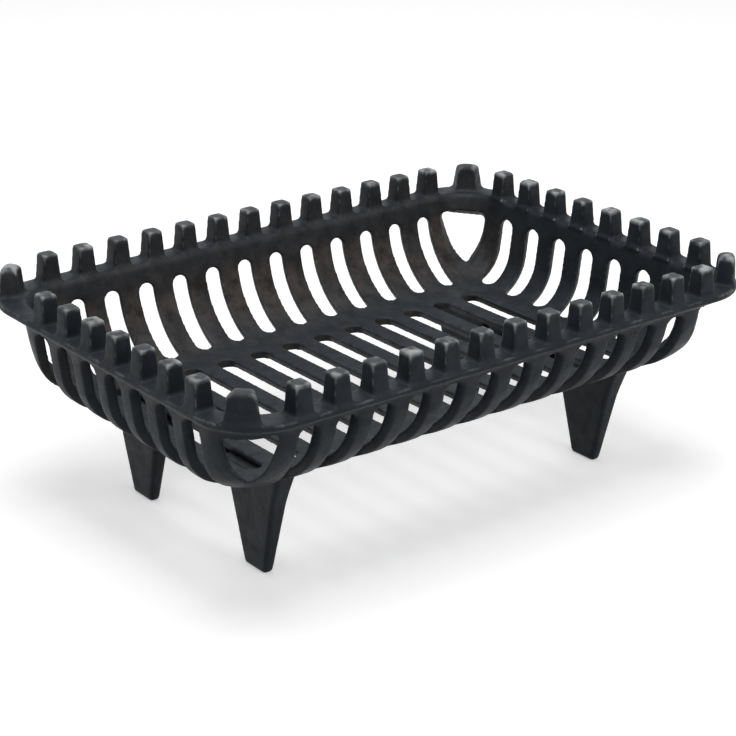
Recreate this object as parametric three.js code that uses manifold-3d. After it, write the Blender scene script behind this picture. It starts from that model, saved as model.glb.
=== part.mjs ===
// A cast-iron log grate: a slotted, dish-shaped basket with a crenellated rim,
// standing on four separately cast legs.  Millimetres, +Z up, the long side along X,
// the floor that the grate stands on at z = 0.

import * as THREE from 'three';
import { mergeVertices } from 'three/addons/utils/BufferGeometryUtils.js';
import Module from 'manifold-3d';

const wasm = await Module();
wasm.setup();

// ---------------------------------------------------------------- driving dimensions

// Overall.
const RIM_LENGTH = 432;         // rim lip, left to right
const RIM_DEPTH = 305;          // rim lip, front to back
const RIM_CORNER = 42;          // corner radius of the lip in plan
const LEDGE_HEIGHT = 138.3;     // top face of the rim above the ground
const FLOOR_HEIGHT = 76.8;      // top face of the basket floor above the ground
const WALL = 6.4;               // thickness of the casting in walls and floor

// Rim: the flat ledge and the small lip round its outside.
const LEDGE_WIDTH_SHORT = 16.5; // ledge on the two short sides
const LEDGE_WIDTH_LONG = 19.5;  // ledge on the two long sides
const LIP_THICK = 4.6;          // height of the lip's outer face and its rounding
const LIP_ROUND = 1.4;          // chamfer that stands for the cast rounding
const LIP_THROAT = 8;           // the underside slopes this far down to the wall

// Walls: each pair has its own cove, the hollow curve from wall to floor.
const COVE_SHORT = 28;          // cove radius under the short sides
const COVE_LONG = 52;           // cove radius under the long sides
const FLOOR_INSET_SHORT = 49;   // rim lip to where the floor starts to rise, along X
const FLOOR_INSET_LONG = 74.5;  // the same along Y
const INNER_CORNER_TOP = 33;    // plan corner radius of the hollow at the slot tops
const INNER_CORNER_FLOOR = 25;  // and down at the floor

// Teeth round the rim.
const TEETH_LONG = 13;
const TEETH_SHORT = 8;
const TOOTH_END_GAP = 41.3;     // last tooth to where two tooth lines would cross
const TOOTH_INSET = 9.4;        // lip edge to the middle line of the teeth
const TOOTH_HEIGHT = 19.5;
const TOOTH_BASE = 12.6;        // square, above the cast fillet
const TOOTH_TOP = 9.4;
const TOOTH_FILLET = 1.1;       // how far the fillet stands out at the ledge
const TOOTH_ROUND = 1.3;        // rounding of the top edges
const TOOTH_CHAMFER = 1.4;      // rounding of the four upright edges
const CORNER_TOOTH_BASE = 19;   // corner teeth are wider along the rim
const CORNER_TOOTH_TOP = 13;
const CORNER_TOOTH_INSET = 8.4; // from the crossing of the two tooth lines, each way
const MISSING_LEFT_TOOTH = 0;   // the left side has no tooth at its rearmost place

// Slots.
const SLOT_WIDTH_LONG = 13.7;   // floor and long walls, at the inner face of the casting
const SLOT_WIDTH_SHORT = 15.5;  // short walls
const SLOT_DRAFT_WIDTH = 2.8;   // each side opens by this much towards the outside
const SLOT_TOP_DROP = 13.5;     // ledge to the upper end of the wall slots
const SLOT_FOOT_LONG = 19;      // edge of the floor to the lower end of a long-wall slot
const SLOT_FOOT_SHORT = 9;      // edge of the floor to the lower end of a short-wall slot
const FLOOR_SLOT_OVERRUN = 2;   // the floor slots end this far past the edge of the floor

// Rounded triangular holes in the four corners.
const CORNER_HOLE_DROP = 12.5;  // ledge to the top of the hole
const CORNER_HOLE_HEIGHT = 36.8;
const CORNER_HOLE_WIDTH = 33;
const CORNER_HOLE_ROUND = 4.5;
const CORNER_HOLE_CROWN = 0.5;  // its top edge is this much higher in the middle
const HOLE_TOP_OFFSET = -1.2;   // sideways place of its top, from the corner's middle
const HOLE_TIP_OFFSET = 2.8;    // and of its tip
const CORNER_HOLE_SPREAD = 0.1; // its sides part by this much per millimetre outwards
const CORNER_HOLE_FALL = 0.27;  // its tip drops by this much per millimetre
const CORNER_HOLE_ROOF = 0.35;  // and its top edge by this much

// Legs: tapered blades, bolted up under the second bar from each end.
const LEG_OFFSET = 3.8;         // middle of the bar to the middle of the blade
const LEG_INSET = 12;           // edge of the floor to the middle of the blade
const FOOT_WIDTH = 22;
const FOOT_THICK = 7.5;
const LEG_TOP_WIDTH = 56;
const LEG_TOP_THICK = 14;
const LEG_EDGE_ROUND = 3;
const FOOT_ROUND = 2.2;
const SEAT_GAP = 0.3;           // clearance between a leg and the basket
const LUG_LENGTH = 23;
const LUG_WIDTH = 14;
const LUG_THICK = 6;
const LEG_FLARE_WIDTH = 2.6;    // the front or rear edge spreads at the very top
const LEG_HEAD_RISE = 12;       // the blade reaches this far above the floor's underside

// Leg screws, M5 hexagon head with a plain washer, in blind holes in cast bosses.
const SCREW_DIAMETER = 5;
const SCREW_CLEARANCE = 0.3;    // radial
const HEAD_ACROSS_FLATS = 8;
const HEAD_HEIGHT = 3.5;
const WASHER_DIAMETER = 10;
const WASHER_THICK = 1;
const FIT_GAP = 0.05;           // between head, washer and lug
const BOSS_DIAMETER = 12;
const BOSS_DROP = 4.5;          // below the underside of the floor
const HOLE_ROOF = 2.5;          // iron left above the blind hole
const SCREW_END_GAP = 1;

// ------------------------------------------------------------------ shared geometry

const CUT_MARGIN = 2;           // how far a cutter runs past the surface it cuts
const RING_SEGMENTS = 5;        // per rounded corner of the basket
const COVE_STEPS = 5;
const SLOT_END_ANGLES = [28, 60, 90]; // where the round end of a slot has its points

const floorEdgeShort = RIM_LENGTH / 2 - FLOOR_INSET_SHORT;
const floorEdgeLong = RIM_DEPTH / 2 - FLOOR_INSET_LONG;

const slotTop = LEDGE_HEIGHT - SLOT_TOP_DROP;
const cornerHoleTop = LEDGE_HEIGHT - CORNER_HOLE_DROP;
const cornerHoleTip = cornerHoleTop - CORNER_HOLE_HEIGHT;

// Teeth and slots share one pitch on each side of the rim.
const toothLineX = RIM_LENGTH / 2 - TOOTH_INSET;
const toothLineY = RIM_DEPTH / 2 - TOOTH_INSET;
const pitchLong = 2 * (toothLineX - TOOTH_END_GAP) / (TEETH_LONG - 1);
const pitchShort = 2 * (toothLineY - TOOTH_END_GAP) / (TEETH_SHORT - 1);

// Plan radius of the hollow grows from the slot tops down to the floor.
function innerCorner(z) {
  const t = THREE.MathUtils.clamp((slotTop - z) / (slotTop - FLOOR_HEIGHT), 0, 1);
  return THREE.MathUtils.lerp(INNER_CORNER_TOP, INNER_CORNER_FLOOR, t);
}

// Half-section of one wall, seen along the wall: a cove that is tangent to the floor,
// then a straight, slightly leaning wall up to the ledge.
function wallSection(floorEdge, radius, ledgeEdge) {
  const centre = new THREE.Vector2(floorEdge, FLOOR_HEIGHT + radius);
  const ledge = new THREE.Vector2(ledgeEdge, LEDGE_HEIGHT);
  const reach = ledge.clone().sub(centre);
  const lean = reach.angle() - Math.acos(radius / reach.length());
  const endOfCove = new THREE.Vector2(Math.cos(lean), Math.sin(lean));
  const path = new THREE.Path();
  path.moveTo(floorEdge, FLOOR_HEIGHT);
  path.absarc(centre.x, centre.y, radius, -Math.PI / 2, lean, false);
  path.lineTo(ledge.x, ledge.y);
  return {
    path,
    lean,
    // Distance of the wall from the centre plane at height z, on the surface that lies
    // `offset` outside the inner face.
    at(z, offset = 0) {
      const joint = centre.clone().addScaledVector(endOfCove, radius + offset);
      if (z >= joint.y) {
        return joint.x - (z - joint.y) * Math.tan(lean);
      }
      const drop = centre.y - z;
      return centre.x + Math.sqrt(Math.max((radius + offset) ** 2 - drop ** 2, 0));
    },
  };
}

const shortWall = wallSection(
  floorEdgeShort, COVE_SHORT, RIM_LENGTH / 2 - LEDGE_WIDTH_SHORT);
const longWall = wallSection(
  floorEdgeLong, COVE_LONG, RIM_DEPTH / 2 - LEDGE_WIDTH_LONG);

// A closed surface through rings that all have the same number of points.
function loft(rings) {
  const count = rings[0].length;
  const points = rings.flat();
  const triangles = [];
  for (let r = 0; r + 1 < rings.length; r += 1) {
    for (let i = 0; i < count; i += 1) {
      const a = r * count + i;
      const b = r * count + (i + 1) % count;
      triangles.push(a, b, b + count, a, b + count, a + count);
    }
  }
  for (const [ring, start, flip] of [
    [rings[0], 0, true], [rings.at(-1), (rings.length - 1) * count, false],
  ]) {
    const middle = new THREE.Vector3();
    ring.forEach((p) => middle.addScaledVector(p, 1 / count));
    const hub = points.push(middle) - 1;
    for (let i = 0; i < count; i += 1) {
      const a = start + i;
      const b = start + (i + 1) % count;
      triangles.push(...(flip ? [b, a, hub] : [a, b, hub]));
    }
  }
  const geometry = new THREE.BufferGeometry().setFromPoints(points);
  geometry.setIndex(signedVolume(points, triangles) < 0 ? triangles.reverse() : triangles);
  return geometry;
}

function signedVolume(points, triangles) {
  let sum = 0;
  for (let i = 0; i < triangles.length; i += 3) {
    const [a, b, c] = triangles.slice(i, i + 3).map((k) => points[k]);
    sum += a.dot(b.clone().cross(c));
  }
  return sum / 6;
}

// three.js geometry to a manifold solid, and back.
function solid(geometry) {
  let plain = geometry.clone();
  plain.deleteAttribute('normal');
  plain.deleteAttribute('uv');
  plain = mergeVertices(plain, 1e-4);
  return new wasm.Manifold(new wasm.Mesh({
    numProp: 3,
    vertProperties: new Float32Array(plain.attributes.position.array),
    triVerts: new Uint32Array(plain.index.array),
  }));
}

function toGeometry(manifold) {
  const { vertProperties, triVerts, numProp } = manifold.getMesh();
  const geometry = new THREE.BufferGeometry();
  const positions = new Float32Array(vertProperties.length / numProp * 3);
  for (let i = 0; i < positions.length / 3; i += 1) {
    positions.set(vertProperties.subarray(i * numProp, i * numProp + 3), i * 3);
  }
  geometry.setAttribute('position', new THREE.BufferAttribute(positions, 3));
  geometry.setIndex(new THREE.BufferAttribute(new Uint32Array(triVerts), 1));
  geometry.computeVertexNormals();
  return geometry;
}

// ---------------------------------------------------------------------- the basket

// A rounded rectangle at height z, anticlockwise from the +X side.
function roundedRing(halfX, halfY, radius, z, segments = RING_SEGMENTS) {
  const ring = [];
  const corners = [[1, -1, -90], [1, 1, 0], [-1, 1, 90], [-1, -1, 180]];
  for (const [sx, sy, start] of corners) {
    for (let i = 0; i <= segments; i += 1) {
      const angle = THREE.MathUtils.degToRad(start + 90 * i / segments);
      ring.push(new THREE.Vector3(
        sx * (halfX - radius) + radius * Math.cos(angle),
        sy * (halfY - radius) + radius * Math.sin(angle),
        z,
      ));
    }
  }
  return ring;
}

// One level of the walls, `offset` outside their inner face.
function wallRing(z, offset) {
  const radius = innerCorner(z) + offset;
  return roundedRing(shortWall.at(z, offset), longWall.at(z, offset), radius, z);
}

// Heights at which the cove gets a ring, close together where it is flat.
function coveHeights(offset, upTo) {
  const radius = COVE_LONG + offset;
  const heights = [];
  const last = Math.acos(THREE.MathUtils.clamp(
    (FLOOR_HEIGHT + COVE_LONG - upTo) / radius, -1, 1));
  for (let i = 0; i <= COVE_STEPS; i += 1) {
    heights.push(FLOOR_HEIGHT + COVE_LONG - radius * Math.cos(last * i / COVE_STEPS));
  }
  return heights;
}

// The outside of the dish up to the throat under the lip, `gap` larger all round.
const throatHeight = LEDGE_HEIGHT - LIP_THICK - LIP_THROAT;
function outerRings(gap = 0) {
  return coveHeights(WALL + gap, throatHeight).map((z) => wallRing(z, WALL + gap));
}

function lipRing(inset, z) {
  return roundedRing(RIM_LENGTH / 2 - inset, RIM_DEPTH / 2 - inset, RIM_CORNER - inset, z);
}

function basketShell() {
  const lipBottom = LEDGE_HEIGHT - LIP_THICK;
  const outside = [
    ...outerRings(),
    lipRing(LIP_ROUND, lipBottom),
    lipRing(0, lipBottom + LIP_ROUND),
    lipRing(0, LEDGE_HEIGHT - LIP_ROUND),
    lipRing(LIP_ROUND, LEDGE_HEIGHT),
  ];
  const hollow = [
    ...coveHeights(0, slotTop).map((z) => wallRing(z, 0)),
    wallRing(LEDGE_HEIGHT, 0),
  ];
  return loft([...outside, ...hollow.reverse()]);
}

// A slot cutter follows a path in the plane of a wall section: a ribbon that is
// `slotWidth` wide on the path, opens outwards by the draft, and has round ends.
// `place` turns a point of the section and a sideways distance into a 3-D point.
function slotCutter(path, from, to, slotWidth, middleSteps, place) {
  const half = slotWidth / 2;
  const length = path.getLength();
  const stations = [];
  const endAngles = SLOT_END_ANGLES.map(THREE.MathUtils.degToRad);
  for (const angle of endAngles) {
    stations.push([from + half * (1 - Math.cos(angle)), half * Math.sin(angle)]);
  }
  for (let i = 1; i < middleSteps; i += 1) {
    const s = THREE.MathUtils.lerp(from + half, to - half, i / middleSteps);
    stations.push([s, half]);
  }
  for (const angle of endAngles.toReversed()) {
    stations.push([to - half * (1 - Math.cos(angle)), half * Math.sin(angle)]);
  }
  const inside = -CUT_MARGIN;
  const outside = WALL + CUT_MARGIN;
  return loft(stations.map(([s, width]) => {
    const point = path.getPointAt(s / length);
    const along = path.getTangentAt(s / length);
    const normal = new THREE.Vector2(along.y, -along.x);
    const corner = (depth, sign) => place(
      point.clone().addScaledVector(normal, depth),
      sign * (width + SLOT_DRAFT_WIDTH * depth / WALL),
    );
    return [corner(inside, -1), corner(inside, 1), corner(outside, 1), corner(outside, -1)];
  }));
}

// Arc length on a wall section at which a test on the point first holds.
function arcLengthWhere(path, test) {
  const steps = 400;
  for (let i = 0; i <= steps; i += 1) {
    if (test(path.getPointAt(i / steps))) {
      return path.getLength() * i / steps;
    }
  }
  throw new Error('the wall section never gets there');
}

function wallSlots(section, foot, slotWidth, middles, place) {
  const from = arcLengthWhere(section.path, (p) => p.x >= foot);
  const to = arcLengthWhere(section.path, (p) => p.y >= slotTop);
  return middles.map((at) => solid(slotCutter(
    section.path, from, to, slotWidth, COVE_STEPS - 1, (p, side) => place(p, at + side))));
}

// Evenly spaced places, centred on the middle of a side.
function places(count, pitch) {
  return Array.from({ length: count }, (_, i) => (i - (count - 1) / 2) * pitch);
}

function allSlots() {
  const longPlaces = places(TEETH_LONG - 1, pitchLong);
  const shortPlaces = places(TEETH_SHORT - 1, pitchShort);
  const cutters = [];
  const footLong = floorEdgeLong + SLOT_FOOT_LONG;
  const footShort = floorEdgeShort + SLOT_FOOT_SHORT;
  for (const sign of [-1, 1]) {
    cutters.push(...wallSlots(longWall, footLong, SLOT_WIDTH_LONG, longPlaces,
      (p, x) => new THREE.Vector3(x, sign * p.x, p.y)));
    cutters.push(...wallSlots(shortWall, footShort, SLOT_WIDTH_SHORT, shortPlaces,
      (p, y) => new THREE.Vector3(sign * p.x, y, p.y)));
  }
  const floorLine = new THREE.Path();
  const half = floorEdgeLong + FLOOR_SLOT_OVERRUN;
  floorLine.moveTo(-half, FLOOR_HEIGHT);
  floorLine.lineTo(half, FLOOR_HEIGHT);
  for (const x of longPlaces) {
    cutters.push(solid(slotCutter(floorLine, 0, 2 * half, SLOT_WIDTH_LONG, 1,
      (p, side) => new THREE.Vector3(x + side, p.x, p.y))));
  }
  return cutters;
}

// Point where the diagonal of a corner meets the inner face of the dish at height z.
// The diagonal starts from the middle of the rim's corner rounding.
function cornerPoint(z) {
  const across = (RIM_LENGTH - RIM_DEPTH) / 2;
  const radius = innerCorner(z);
  const centre = new THREE.Vector2(shortWall.at(z) - radius, longWall.at(z) - radius);
  const off = (centre.x - centre.y - across) / Math.SQRT2;
  const reach = Math.sqrt(radius ** 2 - off ** 2);
  const along = (centre.x + centre.y) / Math.SQRT2 + reach;
  return new THREE.Vector2(along + across / Math.SQRT2, along - across / Math.SQRT2)
    .divideScalar(Math.SQRT2);
}

// Rounded triangle, point down, as [sideways, height], `depth` outside the inner face.
function cornerHoleOutline(depth) {
  const half = CORNER_HOLE_WIDTH / 2 + depth * CORNER_HOLE_SPREAD;
  const top = cornerHoleTop - depth * CORNER_HOLE_ROOF;
  const tip = cornerHoleTip - depth * CORNER_HOLE_FALL;
  const height = top - tip;
  const toe = [half * 0.24, tip + height * 0.07];
  const belly = [half * 0.68, tip + height * 0.41];
  const outline = new THREE.Path();
  outline.moveTo(-half + CORNER_HOLE_ROUND, top);
  outline.quadraticCurveTo(0, top + 2 * CORNER_HOLE_CROWN, half - CORNER_HOLE_ROUND, top);
  outline.quadraticCurveTo(half, top, half, top - CORNER_HOLE_ROUND);
  outline.quadraticCurveTo(...belly, ...toe);
  outline.quadraticCurveTo(0, tip - height * 0.05, -toe[0], toe[1]);
  outline.quadraticCurveTo(-belly[0], belly[1], -half, top - CORNER_HOLE_ROUND);
  outline.quadraticCurveTo(-half, top, -half + CORNER_HOLE_ROUND, top);
  return outline.getPoints(4).slice(0, -1);
}

function cornerHole(sx, sy) {
  const levels = [-6 * CUT_MARGIN, WALL + 4 * CUT_MARGIN];
  return solid(loft(levels.map((depth) => cornerHoleOutline(depth).map(({ x, y: z }) => {
    const foot = cornerPoint(z);
    const side = x + THREE.MathUtils.mapLinear(
      z, cornerHoleTop, cornerHoleTip, HOLE_TOP_OFFSET, HOLE_TIP_OFFSET);
    return new THREE.Vector3(
      sx * (foot.x + (depth + side) / Math.SQRT2),
      sy * (foot.y + (depth - side) / Math.SQRT2),
      z,
    );
  }))));
}

// A tooth in its own frame: t runs along the rim, n points out of the basket.
// `bend` is the plan radius of the rim's middle line there, for the corner teeth.
function tooth(baseWidth, topWidth, bend) {
  const levels = [
    [-TOOTH_FILLET, TOOTH_FILLET],
    [TOOTH_FILLET * 1.6, 0],
    [TOOTH_HEIGHT - TOOTH_ROUND, 0],
    [TOOTH_HEIGHT, -TOOTH_ROUND * 0.8],
  ];
  return loft(levels.map(([up, grow]) => {
    const share = THREE.MathUtils.clamp(up / TOOTH_HEIGHT, 0, 1);
    const t = THREE.MathUtils.lerp(baseWidth, topWidth, share) / 2 + grow;
    const n = THREE.MathUtils.lerp(TOOTH_BASE, TOOTH_TOP, share) / 2 + grow;
    const c = TOOTH_CHAMFER;
    const outline = [
      [-(t - c), n], [0, n], [t - c, n], [t, n - c], [t, c - n],
      [t - c, -n], [0, -n], [-(t - c), -n], [-t, c - n], [-t, n - c],
    ];
    return outline.filter(([x]) => bend || x !== 0).map(([x, y]) => {
      if (!bend) {
        return new THREE.Vector3(x, y, up);
      }
      const angle = x / bend;
      return new THREE.Vector3(
        (bend + y) * Math.sin(angle), (bend + y) * Math.cos(angle) - bend, up);
    });
  }));
}

// Stand a copy of a tooth on the rim at (x, y), turned so that n points along `heading`.
function placeTooth(geometry, x, y, heading) {
  const copy = geometry.clone();
  copy.rotateZ(heading - Math.PI / 2);
  copy.translate(x, y, LEDGE_HEIGHT);
  return solid(copy);
}

function allTeeth() {
  const bend = CORNER_TOOTH_INSET * (2 + Math.SQRT2);
  const straight = tooth(TOOTH_BASE, TOOTH_TOP, 0);
  const corner = tooth(CORNER_TOOTH_BASE, CORNER_TOOTH_TOP, bend);
  const teeth = [];
  for (const x of places(TEETH_LONG, pitchLong)) {
    teeth.push(placeTooth(straight, x, toothLineY, Math.PI / 2));
    teeth.push(placeTooth(straight, x, -toothLineY, -Math.PI / 2));
  }
  places(TEETH_SHORT, pitchShort).toReversed().forEach((y, i) => {
    teeth.push(placeTooth(straight, toothLineX, y, 0));
    if (i !== MISSING_LEFT_TOOTH) {
      teeth.push(placeTooth(straight, -toothLineX, y, Math.PI));
    }
  });
  for (const sx of [-1, 1]) {
    for (const sy of [-1, 1]) {
      const heading = Math.atan2(sy, sx);
      const x = sx * (toothLineX - bend) + bend * Math.cos(heading);
      const y = sy * (toothLineY - bend) + bend * Math.sin(heading);
      teeth.push(placeTooth(corner, x, y, heading));
    }
  }
  return teeth;
}

function join(solids) {
  return solids.reduce((sum, next) => sum.add(next));
}

// ------------------------------------------------------------------- legs and screws

const undersideHeight = FLOOR_HEIGHT - WALL;
const bossFoot = undersideHeight - BOSS_DROP;
const lugTop = bossFoot - FIT_GAP;
const barX = pitchLong * Math.floor((TEETH_LONG - 3) / 2);
const legX = barX + LEG_OFFSET;
const legY = floorEdgeLong - LEG_INSET;
const screwY = legY - LEG_TOP_WIDTH / 2 - LUG_LENGTH / 2;

// Upright round bar or bore at the place of the leg screw.
function screwCylinder(diameter, low, high, segments = 16) {
  const geometry = new THREE.CylinderGeometry(
    diameter / 2, diameter / 2, high - low, segments);
  geometry.rotateX(Math.PI / 2);
  geometry.translate(barX, screwY, (low + high) / 2);
  return geometry;
}

function boss() {
  return screwCylinder(BOSS_DIAMETER, bossFoot, FLOOR_HEIGHT - WALL / 2);
}

function screwBore(low, high) {
  return screwCylinder(SCREW_DIAMETER + 2 * SCREW_CLEARANCE, low, high);
}

// Front-right leg as modelled; the other three are mirror images.
function blade() {
  const levels = [0, FOOT_ROUND, undersideHeight * 0.4, undersideHeight * 0.72,
    undersideHeight * 0.86, undersideHeight + LEG_HEAD_RISE];
  return loft(levels.map((z) => {
    const share = z / undersideHeight;
    const shrink = z === 0 ? FOOT_ROUND * 0.6 : 0;
    const flare = LEG_FLARE_WIDTH * Math.max(share - 0.7, 0) ** 1.5 / 0.3 ** 1.5;
    const width = THREE.MathUtils.lerp(FOOT_WIDTH, LEG_TOP_WIDTH, share) - 2 * shrink;
    const thick = THREE.MathUtils.lerp(FOOT_THICK, LEG_TOP_THICK, share) - 2 * shrink;
    const ring = roundedRing(
      thick / 2, (width + flare) / 2, Math.min(LEG_EDGE_ROUND, thick / 2 - 0.4), z, 3);
    return ring.map((p) => p.add(new THREE.Vector3(legX, legY + flare / 2, 0)));
  }));
}

function lug() {
  const outline = new THREE.Shape();
  const half = LUG_WIDTH / 2;
  const root = legY - LEG_TOP_WIDTH / 2 + half;
  outline.moveTo(barX - half, root);
  outline.lineTo(barX - half, screwY);
  outline.absarc(barX, screwY, half, Math.PI, 2 * Math.PI, false);
  outline.lineTo(barX + half, root);
  outline.closePath();
  const geometry = new THREE.ExtrudeGeometry(outline, {
    depth: LUG_THICK, bevelEnabled: false, curveSegments: 10,
  });
  geometry.translate(0, 0, lugTop - LUG_THICK);
  return geometry;
}

function mirrored(geometry, sx, sy) {
  const copy = geometry.clone();
  copy.scale(sx, sy, 1);
  if (sx * sy < 0) {
    copy.setIndex([...copy.index.array].reverse());
  }
  return copy;
}

// The blade is cast to the shape of the dish that it carries.
const dishWithGap = solid(loft(outerRings(SEAT_GAP)));
const legGeometry = toGeometry(solid(blade())
  .subtract(dishWithGap)
  .add(solid(lug()))
  .subtract(solid(screwBore(lugTop - LUG_THICK - CUT_MARGIN, bossFoot + CUT_MARGIN))));

function screwGeometry() {
  const headTop = lugTop - LUG_THICK - WASHER_THICK - 2 * FIT_GAP;
  const head = screwCylinder(
    HEAD_ACROSS_FLATS * 2 / Math.sqrt(3), headTop - HEAD_HEIGHT, headTop, 6);
  const shankEnd = FLOOR_HEIGHT - HOLE_ROOF - SCREW_END_GAP;
  const shank = screwCylinder(SCREW_DIAMETER, headTop - HEAD_HEIGHT / 2, shankEnd);
  return toGeometry(solid(head).add(solid(shank)));
}

function washerGeometry() {
  const inner = SCREW_DIAMETER / 2 + SCREW_CLEARANCE;
  const profile = [
    [inner, 0], [WASHER_DIAMETER / 2, 0], [WASHER_DIAMETER / 2, WASHER_THICK],
    [inner, WASHER_THICK], [inner, 0],
  ].map(([r, h]) => new THREE.Vector2(r, h));
  const geometry = new THREE.LatheGeometry(profile, 20);
  geometry.rotateX(Math.PI / 2);
  geometry.translate(barX, screwY, lugTop - LUG_THICK - FIT_GAP - WASHER_THICK);
  return geometry;
}

// ------------------------------------------------------------------------- assembly

const castIron = { color: 0x2b2c2e, roughness: 0.62, metalness: 0.35 };
const steel = { color: 0x4a4b4d, roughness: 0.45, metalness: 0.9 };

function piece(name, geometry, finish) {
  const mesh = new THREE.Mesh(geometry, new THREE.MeshStandardMaterial(finish));
  mesh.name = name;
  return mesh;
}

const corners = [
  ['front_left', -1, -1], ['front_right', 1, -1], ['rear_left', -1, 1], ['rear_right', 1, 1],
];

// The same solid at all four corners, mirrored about the middle of the grate.
function fourTimes(geometry) {
  return corners.map(([, sx, sy]) => solid(mirrored(geometry, sx, sy)));
}

const blindHole = screwBore(bossFoot - CUT_MARGIN, FLOOR_HEIGHT - HOLE_ROOF);
const basket = solid(basketShell())
  .subtract(join(allSlots()))
  .subtract(join(corners.map(([, sx, sy]) => cornerHole(sx, sy))))
  .add(join([...allTeeth(), ...fourTimes(boss())]))
  .subtract(join(fourTimes(blindHole)));

const grate = new THREE.Group();
grate.add(piece('basket', toGeometry(basket), castIron));
for (const [corner, sx, sy] of corners) {
  grate.add(piece(`leg_${corner}`, mirrored(legGeometry, sx, sy), castIron));
  grate.add(piece(`leg_screw_${corner}`, mirrored(screwGeometry(), sx, sy), steel));
  grate.add(piece(`leg_washer_${corner}`, mirrored(washerGeometry(), sx, sy), steel));
}

export default grate;
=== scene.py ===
# %% [markdown]
# # A cast-iron log grate
# This lesson dresses a finished CAD model of a fireplace log grate: a slotted, dish-shaped
# basket with a row of teeth round its rim, on four bolted legs.  The CAD parts come in as a
# fixed frame in metres.  Everything below adds looks: finer castings, a finish, a camera,
# lamps and a floor.

# %% Load the frame
import math
import bpy
from mathutils import Matrix, Vector


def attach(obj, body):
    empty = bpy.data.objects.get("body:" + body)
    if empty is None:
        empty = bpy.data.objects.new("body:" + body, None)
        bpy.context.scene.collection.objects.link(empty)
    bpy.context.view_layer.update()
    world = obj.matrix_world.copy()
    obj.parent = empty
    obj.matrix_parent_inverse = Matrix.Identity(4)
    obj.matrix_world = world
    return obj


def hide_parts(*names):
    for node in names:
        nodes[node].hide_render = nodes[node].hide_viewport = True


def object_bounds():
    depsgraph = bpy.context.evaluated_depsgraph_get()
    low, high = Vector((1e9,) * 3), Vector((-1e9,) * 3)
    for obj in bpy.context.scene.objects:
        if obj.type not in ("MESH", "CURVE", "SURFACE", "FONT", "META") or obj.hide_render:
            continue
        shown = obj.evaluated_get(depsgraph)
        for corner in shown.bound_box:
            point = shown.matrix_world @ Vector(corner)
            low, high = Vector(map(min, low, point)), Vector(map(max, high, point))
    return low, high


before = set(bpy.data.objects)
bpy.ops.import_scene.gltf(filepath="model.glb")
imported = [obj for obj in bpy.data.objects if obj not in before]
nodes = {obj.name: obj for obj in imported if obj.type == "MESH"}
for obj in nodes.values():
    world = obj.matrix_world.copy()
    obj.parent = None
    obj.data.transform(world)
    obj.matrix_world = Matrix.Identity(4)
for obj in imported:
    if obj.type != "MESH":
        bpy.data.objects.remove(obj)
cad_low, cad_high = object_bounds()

MM = 0.001
bpy.ops.object.select_all(action="DESELECT")
print("CAD box in mm:", [round(v / MM, 1) for v in (*cad_low, *cad_high)])

# %% [markdown]
# ## The camera
# The photograph is a product shot with a long lens, from the left front corner and from
# above.  Where the lines of teeth run together fixes the lens and the direction, so the
# camera is built from those angles instead of being moved by eye.

# %% Place the camera
CAMERA_AZIMUTH = -38.067      # degrees, 0 looks along +Y
CAMERA_ELEVATION = 21.867     # degrees above level
CAMERA_ROLL = 0.333           # degrees
CAMERA_DISTANCE = 1361.6 * MM
CAMERA_SLIDE = (-2.95 * MM, -72.09 * MM)
CAMERA_AIM_HEIGHT = 157.64 * MM
FOCAL_PX = 2043.37            # focal length, measured in pixels of the photograph
IMAGE_WIDTH_PX = 736
LENS_PER_IMAGE_WIDTH = FOCAL_PX / IMAGE_WIDTH_PX
SENSOR = 36.0
CLIP_END = 20.0


def camera_axes():
    azimuth = math.radians(CAMERA_AZIMUTH)
    elevation = math.radians(CAMERA_ELEVATION)
    back = Vector((
        math.sin(azimuth) * math.cos(elevation),
        -math.cos(azimuth) * math.cos(elevation),
        math.sin(elevation),
    ))
    right = Vector((math.cos(azimuth), math.sin(azimuth), 0.0))
    up = back.cross(right)
    roll = math.radians(CAMERA_ROLL)
    return (
        right * math.cos(roll) + up * math.sin(roll),
        up * math.cos(roll) - right * math.sin(roll),
        back,
    )


right, up, back = camera_axes()
camera_data = bpy.data.cameras.new("photo_camera")
camera_data.sensor_width = SENSOR
camera_data.lens = SENSOR * LENS_PER_IMAGE_WIDTH
camera_data.clip_end = CLIP_END
camera = bpy.data.objects.new("photo_camera", camera_data)
bpy.context.scene.collection.objects.link(camera)
place = (
    Vector((0.0, 0.0, CAMERA_AIM_HEIGHT))
    + back * CAMERA_DISTANCE
    + right * CAMERA_SLIDE[0]
    + up * CAMERA_SLIDE[1]
)
turn = Matrix((right, up, back)).transposed().to_4x4()
camera.matrix_world = Matrix.Translation(place) @ turn
bpy.context.scene.camera = camera
print("lens", round(camera_data.lens, 1), "mm")

# %% [markdown]
# ## The sizes of the castings
# The frame gives the place of every part, but its basket has few faces, so its hollow curves
# show flats.  The basket and the legs are cast again here with fine faces.  They could be
# smoothed copies of the CAD parts, but a copy keeps the flats.  The frame's box gives length,
# depth and height, and a few more sizes in millimetres are enough to build them anew in the
# same place.

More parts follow.
